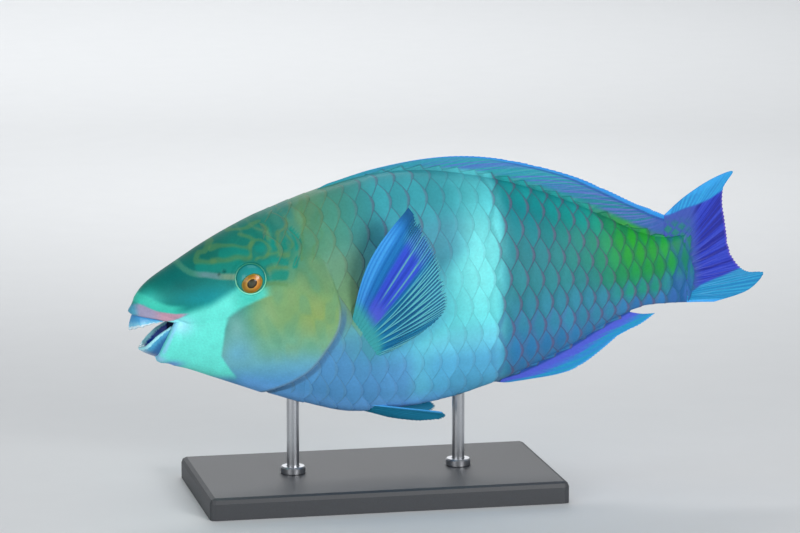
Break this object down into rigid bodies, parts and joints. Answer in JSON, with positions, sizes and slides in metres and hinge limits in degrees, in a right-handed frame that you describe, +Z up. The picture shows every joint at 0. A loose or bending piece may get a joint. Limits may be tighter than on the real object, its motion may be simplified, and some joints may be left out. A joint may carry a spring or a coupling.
{
  "type": "parrotfish",
  "caption": "Life-size still model of a male reef parrotfish, mouth ajar and fins set as in swimming, held over a flat base by slim rods.",
  "frame": {"origin": "middle of the model's footprint, on the underside of the stand base", "axes": "+X from the head to the tail, +Z up, the fish's left side faces -Y"},
  "size_m": [0.3622, 0.108, 0.1868],
  "materials": {
    "fish_skin": "painted scaled skin, satin",
    "dorsal_skin": "painted translucent fin, satin",
    "anal_skin": "painted translucent fin, satin",
    "caudal_skin": "painted translucent fin, satin",
    "pectoral_skin": "painted translucent fin, satin",
    "pelvic_skin": "painted translucent fin, satin",
    "eye": "glossy eye with orange iris",
    "beak": "smooth blue enamel",
    "stand_base": "satin black",
    "stand_rod": "brushed"
  },
  "bodies": {
    "root": {"head": "fish_skin", "torso": "fish_skin", "tail": "fish_skin", "dorsal_fin": "dorsal_skin", "anal_fin": "anal_skin", "caudal_fin": "caudal_skin", "pectoral_fin_left": "pectoral_skin", "pectoral_fin_right": "pectoral_skin", "pelvic_fin_left": "pelvic_skin", "pelvic_fin_right": "pelvic_skin", "eye_left": "eye", "eye_right": "eye", "beak_upper": "beak", "beak_lower": "beak", "stand_base": "stand_base", "stand_rod_front": "stand_rod", "stand_rod_rear": "stand_rod"}
  },
  "joints": []
}
